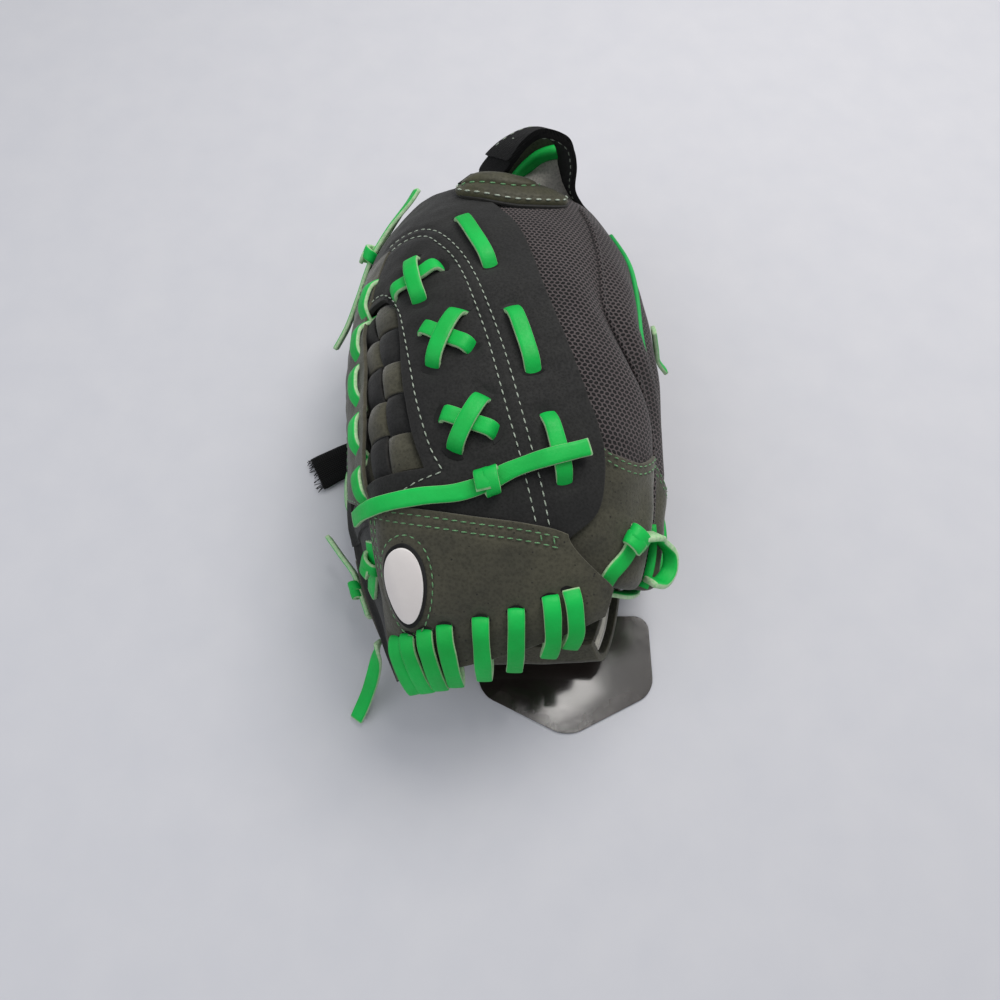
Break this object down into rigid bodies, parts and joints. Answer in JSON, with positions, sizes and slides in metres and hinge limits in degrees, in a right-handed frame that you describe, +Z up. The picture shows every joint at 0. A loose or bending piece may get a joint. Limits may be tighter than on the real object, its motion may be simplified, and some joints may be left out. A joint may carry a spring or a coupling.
{
  "type": "softball glove",
  "caption": "Closed fielding glove on its thumb: mesh finger backs, suede fingertips, laced web with a woven window, wrist strap and hang tag. Opens along the web's edge.",
  "frame": {"origin": "on the flat under the thumb, where the glove rests on a table, below the middle of the pocket", "axes": "+Z up from the table, +Y along the glove to the wrist, +X from the web to the open mouth"},
  "size_m": [0.1744, 0.264, 0.1212],
  "materials": {
    "mesh_fabric": "open spacer mesh, matt purple grey",
    "grey_suede": "napped pigskin, matt olive grey with dark pores",
    "black_leather": "smooth matt charcoal",
    "olive_leather": "soft padded leather",
    "green_lace": "bright green surface with pale cut edges",
    "felt": "pressed wool",
    "lining": "thin matt lining",
    "webbing": "black hook and loop webbing",
    "badge": "plain off-white",
    "card": "glossy black card"
  },
  "bodies": {
    "thumb_half": {"thumb_back": "black_leather", "thumb_tip": "grey_suede", "thumb_web_side_wall": "grey_suede", "thumb_edge_side_wall": "grey_suede", "palm_leather_thumb": "grey_suede", "palm_felt_thumb": "felt", "palm_lining_thumb": "lining", "thumb_edge_lace": "green_lace", "thumb_web_lace": "green_lace", "thumb_tie": "green_lace", "thumb_tip_tail": "green_lace", "thumb_pull_tab": "webbing", "tag_loop": "green_lace"},
    "finger_half": {"index_back": "mesh_fabric", "middle_back": "mesh_fabric", "ring_back": "mesh_fabric", "pinky_back": "mesh_fabric", "index_fingertip": "grey_suede", "middle_fingertip": "grey_suede", "ring_fingertip": "grey_suede", "pinky_fingertip": "grey_suede", "index_middle_piping": "green_lace", "middle_ring_piping": "green_lace", "ring_pinky_piping": "green_lace", "index_middle_fourchette": "lining", "middle_ring_fourchette": "lining", "ring_pinky_fourchette": "lining", "palm_leather_fingers": "grey_suede", "palm_felt_fingers": "felt", "palm_lining_fingers": "lining", "index_side_wall": "grey_suede", "pinky_side_wall": "grey_suede", "web_panel": "black_leather", "web_palm_side": "black_leather", "web_long_strip_1": "black_leather", "web_long_strip_2": "black_leather", "web_long_strip_3": "black_leather", "web_cross_strip_1": "grey_suede", "web_cross_strip_2": "grey_suede", "web_cross_strip_3": "grey_suede", "web_cross_strip_4": "grey_suede", "web_cross_strip_5": "grey_suede", "web_cap": "grey_suede", "web_cap_lace": "green_lace", "web_badge": "badge", "web_index_lace": "green_lace", "web_cross_lace_1": "green_lace", "web_cross_lace_2": "green_lace", "wrist_collar": "olive_leather", "heel_lace": "green_lace", "fingertip_lace": "green_lace", "fingertip_lace_tail": "green_lace", "web_tie": "green_lace", "upper_tie": "green_lace", "finger_lace_end": "green_lace", "strap_anchor_tab": "black_leather", "strap_landing_tab": "black_leather"},
    "strap": {"wrist_strap": "webbing", "strap_cover": "black_leather"},
    "tag": {"hang_tag": "card"}
  },
  "joints": [
    {"name": "glove_hinge", "type": "hinge", "parent": "thumb_half", "child": "finger_half", "pos_m": [-0.079, 0, 0.035], "axis": [0, -1, 0], "range_deg": [0, 65]},
    {"name": "strap_flip", "type": "hinge", "parent": "finger_half", "child": "strap", "pos_m": [0.0533, 0.1138, 0.0563], "axis": [-0.4249, 0.8822, -0.203], "range_deg": [0, 80]},
    {"name": "tag_swivel", "type": "hinge", "parent": "thumb_half", "child": "tag", "pos_m": [0.031, -0.085, 0], "axis": [0, 0, 1], "range_deg": [-12, 12]}
  ]
}
